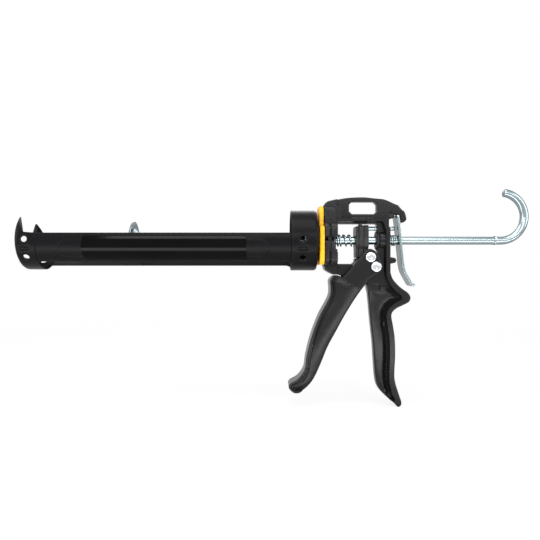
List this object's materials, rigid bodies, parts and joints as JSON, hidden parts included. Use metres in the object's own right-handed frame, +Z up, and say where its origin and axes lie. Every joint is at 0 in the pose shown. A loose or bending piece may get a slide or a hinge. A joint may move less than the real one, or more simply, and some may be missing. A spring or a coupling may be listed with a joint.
{
  "type": "caulking gun",
  "caption": "Manual caulking gun: open half-tube cradle with a swivelling barrel, squeeze trigger, sliding push rod with piston and hook, and thumb release lever.",
  "frame": {"origin": "centre of the bounding box footprint, at the height of the tip of the grip", "axes": "+X from the muzzle towards the rod hook, +Z up, towards the arch over the handle, -Y the side the picture shows"},
  "size_m": [0.4839, 0.0578, 0.2082],
  "materials": {
    "barrel_paint": "satin black paint on pressed steel",
    "label_film": "glossy black film, no print",
    "zinc_plate": "bright zinc plate with a faint blue cast",
    "black_plastic": "moulded, fine grain",
    "yellow_plate": "glossy orange-yellow moulding",
    "black_casting": "die casting with a satin black coat",
    "bright_rivet": "bright plated rivet heads",
    "black_steel": "blackened steel plates",
    "spring_wire": "bright drawn spring wire"
  },
  "bodies": {
    "body": {"body_casting": "black_casting", "retainer_plate": "yellow_plate", "hub_nut": "zinc_plate", "hub_washer": "zinc_plate", "hub_sleeve": "zinc_plate", "swivel_washer": "black_plastic", "spring_seat": "zinc_plate", "main_spring": "spring_wire", "brake_spring": "spring_wire", "rear_guide_bush": "black_plastic", "pivot_rivet": "bright_rivet"},
    "barrel": {"front_cap": "barrel_paint", "cradle": "barrel_paint", "collar": "barrel_paint", "label_near": "label_film", "label_far": "label_film"},
    "trigger": {"trigger": "black_casting", "drive_rivet": "bright_rivet"},
    "drive_head": {"thrust_plate": "black_steel", "grip_plate": "black_steel", "rear_grip_plate": "black_steel", "drip_pin": "zinc_plate"},
    "piston": {"piston_disc": "zinc_plate", "piston_backing": "zinc_plate"},
    "rod": {"push_rod": "zinc_plate", "piston_nut": "zinc_plate"},
    "release_lever": {"release_lever": "zinc_plate"}
  },
  "joints": [
    {"name": "barrel_swivel", "type": "hinge", "parent": "body", "child": "barrel", "pos_m": [-0.00775, 0, 0.1584], "axis": [1, 0, 0], "continuous": true},
    {"name": "trigger_pull", "type": "hinge", "parent": "body", "child": "trigger", "pos_m": [0.09295, 0, 0.1329], "axis": [0, -1, 0], "range_deg": [0, 22], "stiffness_Nm_per_rad": 0.6, "springref_deg": -14.32},
    {"name": "drive_slide", "type": "slide", "parent": "body", "child": "drive_head", "axis": [-1, 0, 0], "range_m": [0, 0.0031], "deforming": ["main_spring"]},
    {"name": "piston_slide", "type": "slide", "parent": "body", "child": "piston", "axis": [1, 0, 0], "range_m": [-0.078, 0.16]},
    {"name": "rod_turn", "type": "hinge", "parent": "piston", "child": "rod", "pos_m": [-0.00775, 0, 0.1584], "axis": [1, 0, 0], "continuous": true},
    {"name": "lever_press", "type": "hinge", "parent": "body", "child": "release_lever", "pos_m": [0.11375, 0, 0.1825], "axis": [0, 1, 0], "range_deg": [0, 5.5], "stiffness_Nm_per_rad": 0.15, "springref_deg": -11.46, "deforming": ["brake_spring"]}
  ],
  "couplings": [
    {"joint": "drive_slide", "follows": "trigger_pull", "m_per_rad": 0.0079}
  ]
}
